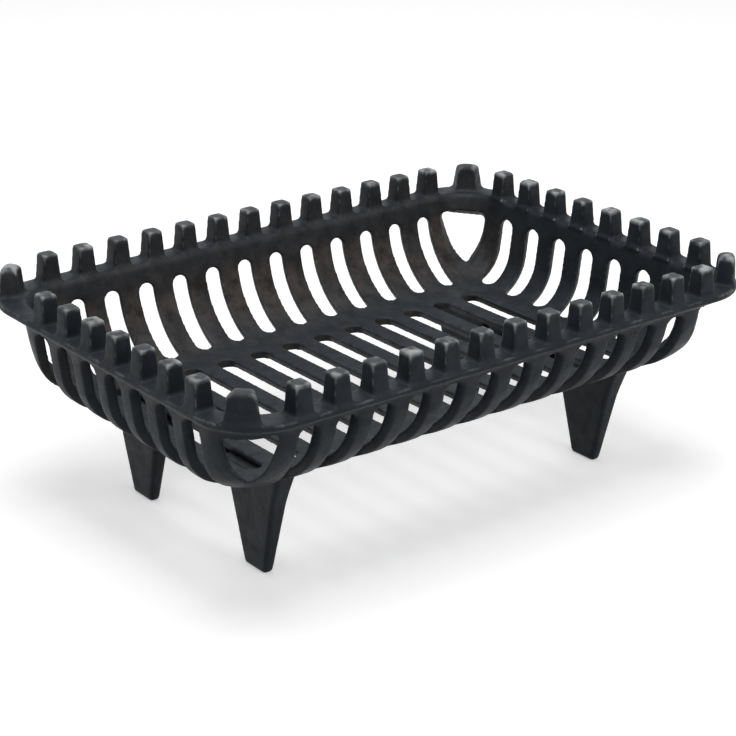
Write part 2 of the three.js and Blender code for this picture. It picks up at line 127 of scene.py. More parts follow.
# %% Sizes
RIM_LENGTH, RIM_DEPTH, TOTAL_HEIGHT = (
    round((high - low) / MM, 1) for low, high in zip(cad_low, cad_high))
TOOTH_HEIGHT = 19.5
LEDGE_HEIGHT = round(TOTAL_HEIGHT - TOOTH_HEIGHT, 1)
FLOOR_HEIGHT = 76.8
RIM_CORNER = 42.0             # corner radius of the rim in plan
WALL = 6.4                    # thickness of walls and floor
LEDGE_WIDTH_SHORT = 16.5
LEDGE_WIDTH_LONG = 19.5
LIP_THICK = 4.6
LIP_ROUND = 1.4
LIP_THROAT = 8.0              # the underside slopes this far down to the wall
COVE_SHORT = 28.0             # radius under the short sides
COVE_LONG = 52.0
FLOOR_INSET_SHORT = 49.0      # rim to where the floor starts to rise, along X
FLOOR_INSET_LONG = 74.5       # the same along Y
FLOOR_EDGE_SHORT = RIM_LENGTH / 2 - FLOOR_INSET_SHORT
FLOOR_EDGE_LONG = RIM_DEPTH / 2 - FLOOR_INSET_LONG
INNER_CORNER_TOP = 33.0       # corner radius of the hollow in plan, at the slot tops
INNER_CORNER_FLOOR = 25.0
SLOT_TOP_DROP = 13.5
SLOT_TOP = round(LEDGE_HEIGHT - SLOT_TOP_DROP, 1)
print("rim", RIM_LENGTH, "x", RIM_DEPTH, "mm, ledge at", LEDGE_HEIGHT, "mm")

# %% [markdown]
# ## The section of a wall
# Each wall rises from the floor in a cove, a quarter-round hollow, and runs on as a slightly
# leaning flat up to the ledge.  The flat touches the cove where the two have one direction,
# which gives the angle at which the cove ends.  The section answers two questions: where is
# the wall at a given height, and where is it after so many millimetres along its curve.

# %% Wall section
CURVE_STEP = 0.1


class WallSection:
    def __init__(self, floor_edge, radius, ledge_edge):
        self.radius = radius
        self.centre = Vector((floor_edge, FLOOR_HEIGHT + radius))
        reach = Vector((ledge_edge, LEDGE_HEIGHT)) - self.centre
        self.lean = math.atan2(reach.y, reach.x) - math.acos(radius / reach.length)
        self.cove_length = radius * (self.lean + math.pi / 2)

    def normal(self, turn):
        return Vector((math.cos(turn), math.sin(turn)))

    def along(self, s):
        """Point of the inner face and outward normal, s mm up the curve."""
        if s < self.cove_length:
            normal = self.normal(s / self.radius - math.pi / 2)
            return self.centre + normal * self.radius, normal
        normal = self.normal(self.lean)
        uphill = Vector((-normal.y, normal.x))
        start = self.centre + normal * self.radius
        return start + uphill * (s - self.cove_length), normal

    def at_height(self, z, offset=0.0):
        """Distance from the middle plane, on the surface offset mm outside."""
        radius = self.radius + offset
        joint = self.centre + self.normal(self.lean) * radius
        if z >= joint.y:
            return joint.x - (z - joint.y) * math.tan(self.lean)
        drop = self.centre.y - z
        return self.centre.x + math.sqrt(max(radius ** 2 - drop ** 2, 0.0))

    def length_where(self, test):
        """How far along the curve a test on the point first holds."""
        s = 0.0
        while not test(self.along(s)[0]):
            s += CURVE_STEP
        return s


short_wall = WallSection(FLOOR_EDGE_SHORT, COVE_SHORT, RIM_LENGTH / 2 - LEDGE_WIDTH_SHORT)
long_wall = WallSection(FLOOR_EDGE_LONG, COVE_LONG, RIM_DEPTH / 2 - LEDGE_WIDTH_LONG)
print("coves end at", [round(math.degrees(w.lean), 1) for w in (short_wall, long_wall)])

# %% [markdown]
# ## Small tools for modelling
# Every piece starts as a primitive, is shaped in edit mode and ends as a closed mesh with
# its place in its vertices.  These helpers select everything, run modifiers, and seat the
# vertices of a plain blank on the curved casting.  Seating is what a hand modeller does by
# pulling rows of points on to a guide.

# %% Modelling helpers


def only(obj):
    bpy.ops.object.select_all(action="DESELECT")
    obj.select_set(True)
    bpy.context.view_layer.objects.active = obj


def edit_all(obj):
    only(obj)
    bpy.ops.object.mode_set(mode="EDIT")
    bpy.ops.mesh.select_all(action="SELECT")


def leave_edit():
    bpy.ops.object.mode_set(mode="OBJECT")


def apply_modifier(obj, kind, **settings):
    only(obj)
    modifier = obj.modifiers.new(kind.lower(), kind)
    for name, value in settings.items():
        setattr(modifier, name, value)
    bpy.ops.object.modifier_apply(modifier=modifier.name)


def seat(obj, place):
    """Move every vertex, read in mm, to the place that a function gives in mm."""
    for vertex in obj.data.vertices:
        vertex.co = Vector(place(vertex.co / MM)) * MM
    obj.data.update()


def point_outwards(obj):
    edit_all(obj)
    bpy.ops.mesh.normals_make_consistent(inside=False)
    leave_edit()


def copy_of(obj, name):
    copy = obj.copy()
    copy.data = obj.data.copy()
    copy.name = name
    bpy.context.scene.collection.objects.link(copy)
    return copy


def join_all(pieces):
    bpy.ops.object.select_all(action="DESELECT")
    for piece in pieces:
        piece.select_set(True)
    bpy.context.view_layer.objects.active = pieces[0]
    bpy.ops.object.join()
    return pieces[0]


def discard(obj):
    bpy.data.objects.remove(obj, do_unlink=True)


# %% [markdown]
# ## Rings for the dish
# The basket without its openings is a dish with one thick skin.  It could be spun or made
# from a sphere, but its sides are straight and its corners round, so it is described by
# rings: rounded rectangles at one height each, which follow the wall sections and the lip.

# %% Rings
CORNER_STEPS = 16
COVE_RINGS = 18
LIP_DEGREES = (0, 30, 60, 90)
LEDGE_ROUND = 4.0             # rounding of the edge between hollow and ledge
EDGE_STEPS = 5
THROAT_HEIGHT = LEDGE_HEIGHT - LIP_THICK - LIP_THROAT


def rounded_ring(half_x, half_y, radius, z, steps=CORNER_STEPS):
    ring = []
    for sx, sy, start in ((1, -1, -90), (1, 1, 0), (-1, 1, 90), (-1, -1, 180)):
        for i in range(steps + 1):
            angle = math.radians(start + 90 * i / steps)
            ring.append(Vector((
                sx * (half_x - radius) + radius * math.cos(angle),
                sy * (half_y - radius) + radius * math.sin(angle),
                z,
            )))
    return ring


def inner_corner(z):
    share = min(max((SLOT_TOP - z) / (SLOT_TOP - FLOOR_HEIGHT), 0.0), 1.0)
    return INNER_CORNER_TOP + (INNER_CORNER_FLOOR - INNER_CORNER_TOP) * share


def wall_ring(z, offset):
    return rounded_ring(
        short_wall.at_height(z, offset), long_wall.at_height(z, offset),
        inner_corner(z) + offset, z)


def lip_ring(inset, z):
    return rounded_ring(
        RIM_LENGTH / 2 - inset, RIM_DEPTH / 2 - inset, RIM_CORNER - inset, z)


def cove_heights(offset, top):
    """Ring heights from the floor up, close together where the cove is flat."""
    radius = COVE_LONG + offset
    last = math.acos((FLOOR_HEIGHT + COVE_LONG - top) / radius)
    return [
        FLOOR_HEIGHT + COVE_LONG - radius * math.cos(last * i / COVE_RINGS)
        for i in range(COVE_RINGS + 1)
    ]


def lip_rings():
    low = LEDGE_HEIGHT - LIP_THICK
    quarter = [math.radians(degrees) for degrees in LIP_DEGREES]
    under = [
        lip_ring(LIP_ROUND * (1 - math.sin(a)), low + LIP_ROUND * (1 - math.cos(a)))
        for a in quarter
    ]
    over = [
        lip_ring(LIP_ROUND * (1 - math.cos(a)), LEDGE_HEIGHT - LIP_ROUND * (1 - math.sin(a)))
        for a in quarter
    ]
    return under + over


print(len(lip_rings()), "rings round the lip, each of", len(lip_ring(0.0, 0.0)), "points")

# %% [markdown]
# ## The dish
# One ring of points is extruded up the outside, over the lip and ledge, and down the inside,
# and each new ring is seated on its rounded rectangle.  The two faces left at the ends are
# the floor's two sides, so the skin is closed.

# %% Dish
FIRST_RADIUS = 0.1            # of a new circle, whose points are seated at once


def extruded_through(name, rings):
    """A closed skin: one face, extruded from ring to ring."""
    bpy.ops.object.select_all(action="DESELECT")
    bpy.ops.mesh.primitive_circle_add(
        vertices=len(rings[0]), radius=FIRST_RADIUS, fill_type="NGON", location=(0, 0, 0))
    skin = bpy.context.active_object
    skin.name = name
    count = len(rings[0])
    for index, ring in enumerate(rings):
        if index:
            bpy.ops.object.mode_set(mode="EDIT")
            bpy.ops.mesh.extrude_region_move(
                TRANSFORM_OT_translate={"value": (0, 0, MM)})
            leave_edit()
        for vertex, target in zip(list(skin.data.vertices)[-count:], ring):
            vertex.co = target * MM
    point_outwards(skin)
    return skin


def outer_rings(gap=0.0):
    return [wall_ring(z, WALL + gap) for z in cove_heights(WALL + gap, THROAT_HEIGHT)]


def ledge_edge_rings():
    """The edge between wall and ledge, rounded by the sand."""
    rings = []
    for step in range(EDGE_STEPS + 1):
        angle = math.radians(90 * step / EDGE_STEPS)
        z = LEDGE_HEIGHT - LEDGE_ROUND * (1 - math.sin(angle))
        rings.append(wall_ring(z, LEDGE_ROUND * (1 - math.cos(angle))))
    return rings


hollow = [wall_ring(z, 0.0) for z in cove_heights(0.0, SLOT_TOP)]
hollow += ledge_edge_rings()
basket = extruded_through("cast_basket", outer_rings() + lip_rings() + hollow[::-1])
print("dish:", len(basket.data.vertices), "points,", len(basket.data.polygons), "faces")

# %% [markdown]
# ## The slots
# The slots leave the bars between them, and both have a draft: each slot opens outwards, so
# that the pattern comes out of the sand.  A slot could be cut by a straight tool, but the
# real ones follow the curve of the wall.  So one flat cutter with round ends is modelled,
# divided along its length, and seated along the wall.

# %% Flat slot cutter
SLOT_DRAFT = 2.8              # each side opens by this much from inside to outside
CUT_MARGIN = 2.0              # cutters reach this far past the skin
WELD = 0.01                   # points closer than this are one
END_SEGMENTS = 8
SLOT_STATION = 3.0            # spacing of the cuts across a slot cutter
SLOT_EDGE = 0.9               # a slot's edge is broken by this much at the inner face


def flat_cutter(name, length, width):
    """A round-ended plate: x from 0 to length, y across, z from inside to outside."""
    bpy.ops.object.select_all(action="DESELECT")
    bpy.ops.mesh.primitive_plane_add(size=MM, location=(0, 0, 0))
    plate = bpy.context.active_object
    plate.name = name
    seat(plate, lambda p: ((p.x + 0.5) * length, p.y * width, -CUT_MARGIN))
    edit_all(plate)
    bpy.ops.mesh.bevel(
        offset=width / 2 * MM, segments=END_SEGMENTS, affect="VERTICES", clamp_overlap=True)
    bpy.ops.mesh.remove_doubles(threshold=WELD * MM)
    bpy.ops.mesh.extrude_region_move(
        TRANSFORM_OT_translate={"value": (0, 0, (WALL + 2 * CUT_MARGIN) * MM)})
    x = width / 2
    while x < length - width / 2:
        bpy.ops.mesh.select_all(action="SELECT")
        bpy.ops.mesh.bisect(plane_co=(x * MM, 0, 0), plane_no=(1, 0, 0))
        x += SLOT_STATION
    bpy.ops.mesh.select_all(action="SELECT")
    bpy.ops.mesh.bisect(plane_co=(0, 0, SLOT_EDGE * MM), plane_no=(0, 0, 1))
    leave_edit()
    return plate


def seat_on(plate, width, curve, start, place):
    """Seat a flat cutter: `curve` gives a point and a normal, `place` makes it 3-D."""

    def target(p):
        point, normal = curve(start + p.x)
        face = point + normal * p.z
        opening = SLOT_DRAFT * p.z / WALL + max(SLOT_EDGE - p.z, 0.0)
        return place(face, p.y * (1 + 2 * opening / width))

    seat(plate, target)
    point_outwards(plate)


# %% [markdown]
# ## The slots in their places
# There is one slot between every two teeth, so the pitch of the teeth sets the places of the
# slots, and the copies of one seated cutter step along each side.  The floor's slots run on
# from those of the long walls.  The cutters are narrower than the finished slots, because
# the rounding of the casting opens every edge a little.

# %% Cutters for the walls and the floor
TEETH_LONG = 13
TEETH_SHORT = 8
TOOTH_INSET = 9.4             # rim to the middle line of the teeth
TOOTH_END_GAP = 41.3          # last tooth to where two tooth lines would cross
TOOTH_LINE_X = RIM_LENGTH / 2 - TOOTH_INSET
TOOTH_LINE_Y = RIM_DEPTH / 2 - TOOTH_INSET
PITCH_LONG = 2 * (TOOTH_LINE_X - TOOTH_END_GAP) / (TEETH_LONG - 1)
PITCH_SHORT = 2 * (TOOTH_LINE_Y - TOOTH_END_GAP) / (TEETH_SHORT - 1)
SLOT_WIDTH_LONG = 10.6        # widths of the cutters, before the rounding
SLOT_WIDTH_SHORT = 12.4
SLOT_FOOT_LONG = 19.0         # edge of the floor to the lower end of a slot
SLOT_FOOT_SHORT = 9.0
FLOOR_SLOT_WIDTH = 12.2
FLOOR_SLOT_OVERRUN = 2.0


def places(count, pitch):
    return [(i - (count - 1) / 2) * pitch for i in range(count)]


def wall_cutter(section, foot, width, place):
    start = section.length_where(lambda p: p.x >= foot)
    end = section.length_where(lambda p: p.y >= SLOT_TOP)
    plate = flat_cutter("slot_cutter", end - start, width)
    seat_on(plate, width, section.along, start, place)
    return plate


def floor_curve(s):
    half = FLOOR_EDGE_LONG + FLOOR_SLOT_OVERRUN
    return Vector((s - half, FLOOR_HEIGHT)), Vector((0.0, -1.0))


def stepped_copies(cutter, moves):
    """Copies of a seated cutter, one for each (x, y) move; the cutter itself goes."""
    copies = []
    for x, y in moves:
        step = copy_of(cutter, "slot_cutter")
        seat(step, lambda p: (p.x + x, p.y + y, p.z))
        copies.append(step)
    discard(cutter)
    return copies


along_long = [(x, 0.0) for x in places(TEETH_LONG - 1, PITCH_LONG)]
along_short = [(0.0, y) for y in places(TEETH_SHORT - 1, PITCH_SHORT)]
cutters = []
for sign in (-1, 1):
    long_slot = wall_cutter(
        long_wall, FLOOR_EDGE_LONG + SLOT_FOOT_LONG, SLOT_WIDTH_LONG,
        lambda p, side: (side, sign * p.x, p.y))
    cutters += stepped_copies(long_slot, along_long)
    short_slot = wall_cutter(
        short_wall, FLOOR_EDGE_SHORT + SLOT_FOOT_SHORT, SLOT_WIDTH_SHORT,
        lambda p, side: (sign * p.x, side, p.y))
    cutters += stepped_copies(short_slot, along_short)

floor_slot = flat_cutter(
    "slot_cutter", 2 * (FLOOR_EDGE_LONG + FLOOR_SLOT_OVERRUN), FLOOR_SLOT_WIDTH)
seat_on(floor_slot, FLOOR_SLOT_WIDTH, floor_curve, 0.0, lambda p, side: (side, p.x, p.y))
cutters += stepped_copies(floor_slot, along_long)
print(len(cutters), "slot cutters; bars", round(PITCH_LONG - SLOT_WIDTH_LONG, 1), "mm wide")

# %% [markdown]
# ## The outline of a corner hole
# Where the walls meet, each corner has one large hole: a rounded triangle with its point
# down.  Its outline is drawn with curves in a plane that faces the corner.  The outline
# changes with the depth in the wall: further out the hole is a little narrower, its point is
# higher, and its upper corners are rounder.

# %% Outline of the corner holes
CORNER_HOLE_DROP = 12.5
CORNER_HOLE_HEIGHT = 39.6
CORNER_HOLE_WIDTH = 33.0
CORNER_HOLE_ROUND = 4.5
CORNER_HOLE_CROWN = 0.5
HOLE_TOP_OFFSET = -1.2        # sideways place of its top, from the corner's middle
HOLE_TIP_OFFSET = 2.8         # and of its tip
# The next four are changes per millimetre outwards.
CORNER_HOLE_SPREAD = -0.12    # of each side, which comes nearer to the middle
CORNER_HOLE_FALL = -0.17      # of the tip, which rises
CORNER_HOLE_ROOF = 0.8        # of the top edge, which drops
CORNER_HOLE_SOFTENING = 0.35  # of the rounding of its upper corners
# Places on the outline, as shares of half the width and of the height, at the inner face.
TOE_WIDTH = 0.42
TOE_WIDTH_LOSS = 0.03         # per millimetre outwards
TOE_HEIGHT = 0.07
BELLY_WIDTH = 0.80
BELLY_WIDTH_LOSS = 0.012      # per millimetre outwards
BELLY_HEIGHT = 0.41
TIP_PULL = 0.05
CURVE_POINTS = 8


def bezier(start, pull, end):
    points = []
    for i in range(CURVE_POINTS):
        t = i / CURVE_POINTS
        points.append(tuple(
            a * (1 - t) ** 2 + b * 2 * t * (1 - t) + c * t ** 2
            for a, b, c in zip(start, pull, end)))
    return points


def corner_hole_outline(depth):
    """[sideways, height] points, depth mm outside the inner face."""
    half = CORNER_HOLE_WIDTH / 2 + depth * CORNER_HOLE_SPREAD
    top = LEDGE_HEIGHT - CORNER_HOLE_DROP - max(depth, 0.0) * CORNER_HOLE_ROOF
    tip = (LEDGE_HEIGHT - CORNER_HOLE_DROP - CORNER_HOLE_HEIGHT
           - depth * CORNER_HOLE_FALL)
    height = top - tip
    turn = CORNER_HOLE_ROUND + max(depth, 0.0) * CORNER_HOLE_SOFTENING
    shoulder = top - turn
    flat = half - turn
    toe = (half * (TOE_WIDTH - TOE_WIDTH_LOSS * depth), tip + height * TOE_HEIGHT)
    belly = (half * (BELLY_WIDTH - BELLY_WIDTH_LOSS * depth), tip + height * BELLY_HEIGHT)
    return (
        bezier((-flat, top), (0, top + 2 * CORNER_HOLE_CROWN), (flat, top))
        + bezier((flat, top), (half, top), (half, shoulder))
        + bezier((half, shoulder), belly, toe)
        + bezier(toe, (0, tip - height * TIP_PULL), (-toe[0], toe[1]))
        + bezier((-toe[0], toe[1]), (-belly[0], belly[1]), (-half, shoulder))
        + bezier((-half, shoulder), (-half, top), (-flat, top))
    )


print("points on the outline:", len(corner_hole_outline(0.0)))

# %% [markdown]
# ## The corner holes
# A circle of as many points is seated on the outline at the inner side of the wall, extruded
# outwards, and seated again on the outlines further out.  The outline leans with the corner,
# because each of its points stands on the corner's own curve at that height.

# %% Corner holes
HOLE_LEVELS = (-12.0, 0.9, WALL + 8.0)  # depths of the outlines, from inside to outside


def corner_point(z):
    """Where the diagonal from the rim's corner meets the inner face at height z."""
    across = (RIM_LENGTH - RIM_DEPTH) / 2
    radius = inner_corner(z)
    x = short_wall.at_height(z) - radius
    y = long_wall.at_height(z) - radius
    off = (x - y - across) / math.sqrt(2)
    along = (x + y) / math.sqrt(2) + math.sqrt(radius ** 2 - off ** 2)
    return ((along + across / math.sqrt(2)) / math.sqrt(2),
            (along - across / math.sqrt(2)) / math.sqrt(2))


def corner_hole_ring(depth, sx, sy):
    top = LEDGE_HEIGHT - CORNER_HOLE_DROP
    ring = []
    for side, z in corner_hole_outline(depth):
        x, y = corner_point(z)
        share = (top - z) / CORNER_HOLE_HEIGHT
        side += HOLE_TOP_OFFSET + (HOLE_TIP_OFFSET - HOLE_TOP_OFFSET) * share
        ring.append(Vector((
            sx * (x + (depth + side) / math.sqrt(2)),
            sy * (y + (depth - side) / math.sqrt(2)),
            z,
        )))
    return ring


CORNERS = {
    "front_left": (-1, -1),
    "front_right": (1, -1),
    "rear_left": (-1, 1),
    "rear_right": (1, 1),
}
for sx, sy in CORNERS.values():
    rings = [corner_hole_ring(depth, sx, sy) for depth in HOLE_LEVELS]
    cutters.append(extruded_through("corner_hole_cutter", rings))
print("cutters in all:", len(cutters))

# %% [markdown]
# ## Cutting
# All cutters are joined and taken from the dish in one go, which is much faster than 54 cuts
# one by one.  They don't touch each other where they pass through the skin.

# %% Cut the openings
all_cutters = join_all(cutters)
apply_modifier(basket, "BOOLEAN", operation="DIFFERENCE", solver="MANIFOLD",
               object=all_cutters)
discard(all_cutters)
print("basket after the cuts:", len(basket.data.polygons), "faces")

# %% [markdown]
# ## One tooth
# Square, tapered teeth stand on the rim and keep the logs in.  A cube with every edge
# bevelled would do, but its foot has to flare into the ledge and its head is rounded more
# than its sides.  So it is drawn like the dish, through rounded squares, and starts inside
# the ledge.  The blank is cut into strips, so that it can be bent.

# %% Tooth blanks
TOOTH_BASE = 13.4
TOOTH_TOP = 10.8
TOOTH_SIDE_ROUND = 0.8
TOOTH_HEAD_ROUND = 1.2
TOOTH_SINK = 2.0
HEAD_DEGREES = (0, 25, 50, 75, 90)
# Pairs of height above the ledge and how far the foot stands out there.
TOOTH_FLARE = ((-TOOTH_SINK, 1.2), (0.0, 1.2), (0.5, 0.6), (1.3, 0.2), (2.4, 0.0))
CORNER_TOOTH_BASE = 19.5
CORNER_TOOTH_TOP = 14.6
CORNER_TOOTH_HEAD_ROUND = 3.4
RING_STEPS = 4
STRIPS = 6


def tooth_blank(base_width, top_width, head_round):
    """A tooth on the origin: flared foot, straight taper, rounded head."""
    def ring(z, growth):
        share = max(z, 0.0) / TOOTH_HEIGHT
        across = base_width + (top_width - base_width) * share
        deep = TOOTH_BASE + (TOOTH_TOP - TOOTH_BASE) * share
        side_round = TOOTH_SIDE_ROUND + max(-growth, 0.0)
        return rounded_ring(
            across / 2 + growth, deep / 2 + growth, side_round, z, RING_STEPS)

    rings = [ring(z, growth) for z, growth in TOOTH_FLARE]
    for degrees in HEAD_DEGREES:
        angle = math.radians(degrees)
        z = TOOTH_HEIGHT - head_round * (1 - math.sin(angle))
        rings.append(ring(z, -head_round * (1 - math.cos(angle))))
    tooth = extruded_through("tooth", rings)
    only(tooth)
    bpy.ops.object.mode_set(mode="EDIT")
    for i in range(1, STRIPS):
        bpy.ops.mesh.select_all(action="SELECT")
        x = (i / STRIPS - 0.5) * base_width
        bpy.ops.mesh.bisect(plane_co=(x * MM, 0, 0), plane_no=(1, 0, 0))
    leave_edit()
    return tooth


straight_tooth = tooth_blank(TOOTH_BASE, TOOTH_TOP, TOOTH_HEAD_ROUND)
corner_tooth = tooth_blank(CORNER_TOOTH_BASE, CORNER_TOOTH_TOP, CORNER_TOOTH_HEAD_ROUND)
print("points of a tooth:", len(straight_tooth.data.vertices))

# %% [markdown]
# ## The teeth on the rim
# Copies of the blank stand along the four sides and look outwards.  The corner ones are
# wider and bent round the corner, on an arc.  The tooth that the left side lacks at the rear
# is left out.

# %% Teeth
CORNER_TOOTH_INSET = 8.4      # from the crossing of the two tooth lines, each way
# The radius of the arc that touches both tooth lines and passes at that inset.
CORNER_TOOTH_BEND = CORNER_TOOTH_INSET * (2 + math.sqrt(2))


def stand_tooth(blank, x, y, heading):
    """A copy on the ledge, its outer side turned towards `heading`."""
    tooth = copy_of(blank, "tooth")
    turn = Matrix.Rotation(heading - math.pi / 2, 3, "Z")
    seat(tooth, lambda p: turn @ p + Vector((x, y, LEDGE_HEIGHT)))
    return tooth


def bent(p):
    angle = p.x / CORNER_TOOTH_BEND
    reach = CORNER_TOOTH_BEND + p.y
    return (reach * math.sin(angle), reach * math.cos(angle) - CORNER_TOOTH_BEND, p.z)


seat(corner_tooth, bent)
teeth = []
for x in places(TEETH_LONG, PITCH_LONG):
    teeth.append(stand_tooth(straight_tooth, x, TOOTH_LINE_Y, math.pi / 2))
    teeth.append(stand_tooth(straight_tooth, x, -TOOTH_LINE_Y, -math.pi / 2))
side_places = places(TEETH_SHORT, PITCH_SHORT)
for y in side_places:
    teeth.append(stand_tooth(straight_tooth, TOOTH_LINE_X, y, 0.0))
for y in side_places[:-1]:
    teeth.append(stand_tooth(straight_tooth, -TOOTH_LINE_X, y, math.pi))
for sx, sy in CORNERS.values():
    heading = math.atan2(sy, sx)
    x = sx * (TOOTH_LINE_X - CORNER_TOOTH_BEND) + CORNER_TOOTH_BEND * math.cos(heading)
    y = sy * (TOOTH_LINE_Y - CORNER_TOOTH_BEND) + CORNER_TOOTH_BEND * math.sin(heading)
    teeth.append(stand_tooth(corner_tooth, x, y, heading))
discard(straight_tooth)
discard(corner_tooth)
print(len(teeth), "teeth")

# %% [markdown]
# ## One casting
# Iron poured in sand has no sharp edge anywhere: edges are rounded by a millimetre or so,
# and inner corners are filled.  Bevelling every edge of the slotted dish would be slow and
# would fail where the openings come close.  A voxel remesh wraps dish, teeth and screw
# bosses in one skin, a few rounds of smoothing soften it, and decimation brings it to a
# number of faces that a library part may have.

# %% Cast the basket
CAST_VOXEL = 1.0
GRID_TURN_Z, GRID_TURN_X = 19, 13  # degrees
GRID_TURN = (
    Matrix.Rotation(math.radians(GRID_TURN_Z), 3, "Z")
    @ Matrix.Rotation(math.radians(GRID_TURN_X), 3, "X"))
SMOOTH_ROUNDS = 4
SMOOTH_FACTOR = 0.5
BASKET_FACES = 185000
ROUND_SIDES = 48              # of bosses, bores and the lug's end
BOSS_DIAMETER = 12.0
BOSS_DROP = 4.5               # below the underside of the floor
BORE_RADIUS = 2.8
HOLE_ROOF = 2.5               # iron left between the blind bore and the floor's top
LEG_OFFSET = 3.8              # middle of the bar to the middle of the blade
LEG_INSET = 12.0              # edge of the floor to the middle of the blade
LEG_TOP_WIDTH = 56.0
LUG_LENGTH = 23.0
UNDERSIDE = FLOOR_HEIGHT - WALL
BOSS_FOOT = UNDERSIDE - BOSS_DROP
BARS_TO_LEG = (TEETH_LONG - 3) // 2  # to the last bar between two slots
BAR_X = PITCH_LONG * BARS_TO_LEG
LEG_X = BAR_X + LEG_OFFSET
LEG_Y = FLOOR_EDGE_LONG - LEG_INSET
SCREW_Y = LEG_Y - LEG_TOP_WIDTH / 2 - LUG_LENGTH / 2


def upright_bar(name, radius, low, high, sx=1, sy=1):
    bpy.ops.object.select_all(action="DESELECT")
    bpy.ops.mesh.primitive_cylinder_add(
        vertices=ROUND_SIDES, radius=radius * MM, depth=(high - low) * MM,
        location=(0, 0, 0))
    bar = bpy.context.active_object
    bar.name = name
    middle = Vector((sx * BAR_X, sy * SCREW_Y, (low + high) / 2))
    seat(bar, lambda p: p + middle)
    return bar


def cast_skin(obj, voxel, faces):
    """Wrap in one skin, soften, and thin to about so many triangles.

    The casting is turned askew for the remesh: an edge that runs along the rows of
    voxels would come out ragged.
    """
    seat(obj, lambda p: GRID_TURN @ p)
    apply_modifier(obj, "REMESH", mode="VOXEL", voxel_size=voxel * MM)
    seat(obj, lambda p: GRID_TURN.transposed() @ p)
    apply_modifier(obj, "SMOOTH", factor=SMOOTH_FACTOR, iterations=SMOOTH_ROUNDS)
    triangles = 2 * len(obj.data.polygons)
    print(obj.name, "has", triangles, "triangles before thinning")
    if triangles > faces:
        apply_modifier(obj, "DECIMATE", decimate_type="COLLAPSE", ratio=faces / triangles)
    only(obj)
    bpy.ops.object.shade_smooth()


bosses = [
    upright_bar("boss", BOSS_DIAMETER / 2, BOSS_FOOT, FLOOR_HEIGHT - WALL / 2, sx, sy)
    for sx, sy in CORNERS.values()
]
basket = join_all([basket] + teeth + bosses)
cast_skin(basket, CAST_VOXEL, BASKET_FACES)
for sx, sy in CORNERS.values():
    bore = upright_bar("bore", BORE_RADIUS, BOSS_FOOT - CUT_MARGIN,
                       FLOOR_HEIGHT - HOLE_ROOF, sx, sy)
    apply_modifier(basket, "BOOLEAN", operation="DIFFERENCE", solver="EXACT", object=bore)
    discard(bore)
basket.name = "cast_basket"
print("basket:", sum(len(f.vertices) - 2 for f in basket.data.polygons), "triangles")

# %% [markdown]
# ## A leg's blade and lug
# Each leg is a flat, tapered blade with a lug that takes the screw.  The blade is a cube that
# is cut at several heights and drawn out to its width at each.  The lug is a short cylinder
# with one half pulled straight back into the blade.

# %% Blade and lug
FOOT_WIDTH = 22.0
FOOT_THICK = 7.5
LEG_TOP_THICK = 14.0
LEG_EDGE = 2.4                # bevel of its long edges
LEG_EDGE_STEPS = 4
LEG_FLARE = 2.6               # the front or rear edge spreads by this much at the top
FLARE_START = 0.7             # as a share of the height
FLARE_POWER = 1.5
LEG_HEAD_RISE = 12.0          # the blade reaches this far above the floor's underside
SEAT_GAP = 0.3                # clearance between a leg and the basket
LUG_WIDTH = 14.0
LUG_THICK = 6.0
FIT_GAP = 0.05                # between boss and lug
SHARP_ANGLE = math.radians(40)
LUG_TOP = BOSS_FOOT - FIT_GAP
LEG_CUTS = 24
LEG_VOXEL = 0.8
LEG_FACES = 36000


def blade_half_sizes(z):
    share = z / UNDERSIDE
    spread = max(share - FLARE_START, 0.0) / (1 - FLARE_START)
    flare = LEG_FLARE * spread ** FLARE_POWER
    width = FOOT_WIDTH + (LEG_TOP_WIDTH - FOOT_WIDTH) * share
    thick = FOOT_THICK + (LEG_TOP_THICK - FOOT_THICK) * share
    return thick / 2, width / 2, flare


def leg_blade():
    bpy.ops.object.select_all(action="DESELECT")
    bpy.ops.mesh.primitive_cube_add(size=MM, location=(0, 0, 0))
    blade = bpy.context.active_object
    height = UNDERSIDE + LEG_HEAD_RISE
    seat(blade, lambda p: (p.x, p.y, (p.z + 0.5) * height))
    edit_all(blade)
    for i in range(1, LEG_CUTS):
        bpy.ops.mesh.select_all(action="SELECT")
        bpy.ops.mesh.bisect(plane_co=(0, 0, height * i / LEG_CUTS * MM), plane_no=(0, 0, 1))
    leave_edit()

    def draw_out(p):
        half_thick, half_width, flare = blade_half_sizes(p.z)
        reach = half_width + (flare if p.y > 0 else 0.0)
        return (LEG_X + 2 * p.x * half_thick, LEG_Y + 2 * p.y * reach, p.z)

    seat(blade, draw_out)
    apply_modifier(blade, "BEVEL", width=LEG_EDGE * MM, segments=LEG_EDGE_STEPS,
                   limit_method="ANGLE", angle_limit=SHARP_ANGLE)
    return blade


def leg_lug():
    """A flat tongue with a round end, from the blade to under the boss."""
    bpy.ops.object.select_all(action="DESELECT")
    bpy.ops.mesh.primitive_cylinder_add(
        vertices=ROUND_SIDES, radius=LUG_WIDTH / 2 * MM, depth=LUG_THICK * MM,
        location=(0, 0, 0))
    lug = bpy.context.active_object
    root = LEG_Y - LEG_TOP_WIDTH / 2 + LUG_WIDTH / 2

    def stretch(p):
        y = root if p.y > WELD else SCREW_Y + p.y
        x = math.copysign(LUG_WIDTH / 2, p.x) if p.y > WELD else p.x
        return (BAR_X + x, y, LUG_TOP - LUG_THICK / 2 + p.z)

    seat(lug, stretch)
    edit_all(lug)
    bpy.ops.mesh.remove_doubles(threshold=WELD * MM)
    leave_edit()
    return lug


leg = leg_blade()
lug = leg_lug()
print("blade and lug:", len(leg.data.polygons), "and", len(lug.data.polygons), "faces")

